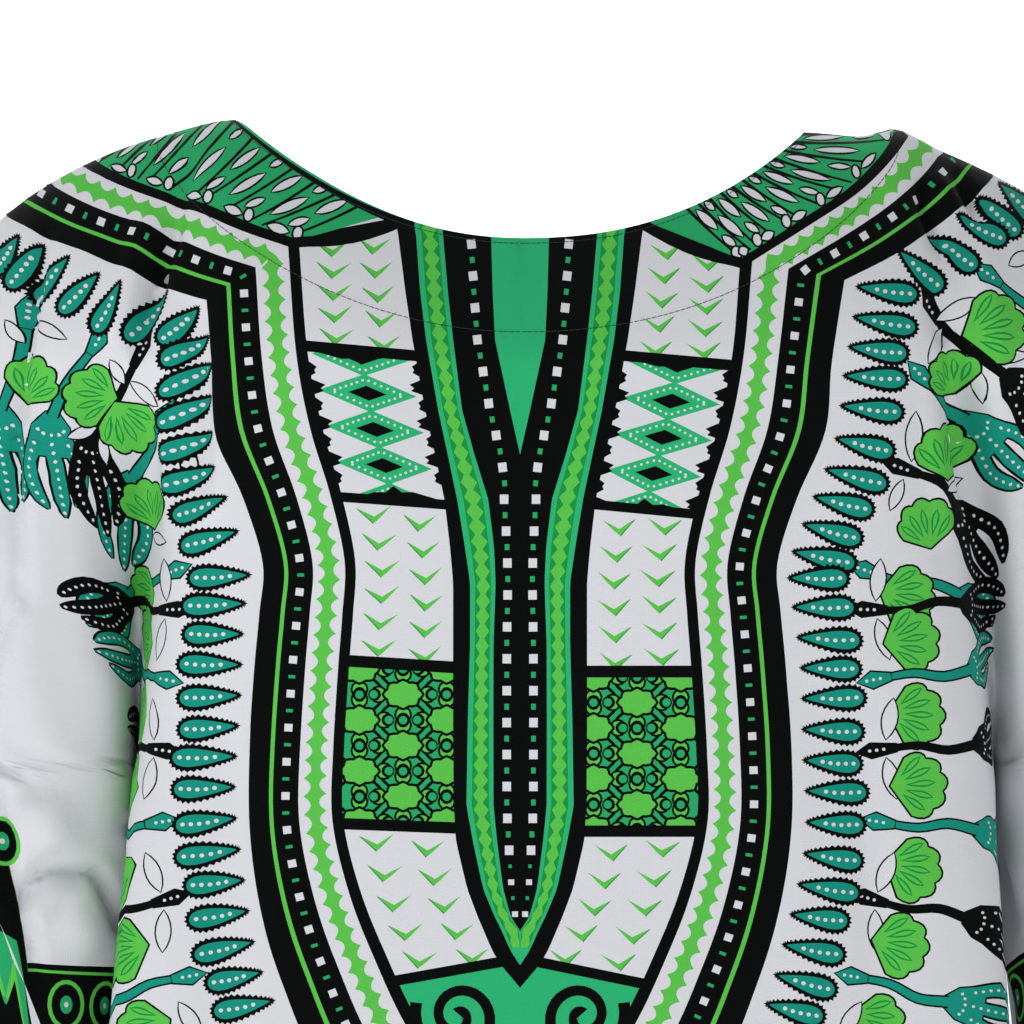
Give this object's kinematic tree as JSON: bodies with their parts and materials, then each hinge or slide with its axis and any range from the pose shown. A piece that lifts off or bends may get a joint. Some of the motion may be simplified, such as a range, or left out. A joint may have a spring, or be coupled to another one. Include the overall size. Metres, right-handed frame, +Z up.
{
  "type": "dashiki shirt",
  "caption": "Loose short-sleeved dashiki shirt, sleeves cut in one with back and front, wide neck with facings, held in its worn form.",
  "frame": {"origin": "between the two neck points, at the shoulders' height, where the shirt is worn", "axes": "+Z up along the wearer's spine, the back faces -Y, the front +Y, the wearer's left sleeve is at -X"},
  "size_m": [0.6476, 0.2345, 0.7492],
  "materials": {
    "back": "matt printed cotton, white ground",
    "front": "matt printed cotton, white ground",
    "neck_facing_back": "matt printed cotton, green",
    "neck_facing_front": "matt printed cotton, green"
  },
  "bodies": {
    "root": {"back": "back", "front": "front", "neck_facing_back": "neck_facing_back", "neck_facing_front": "neck_facing_front"}
  },
  "joints": []
}
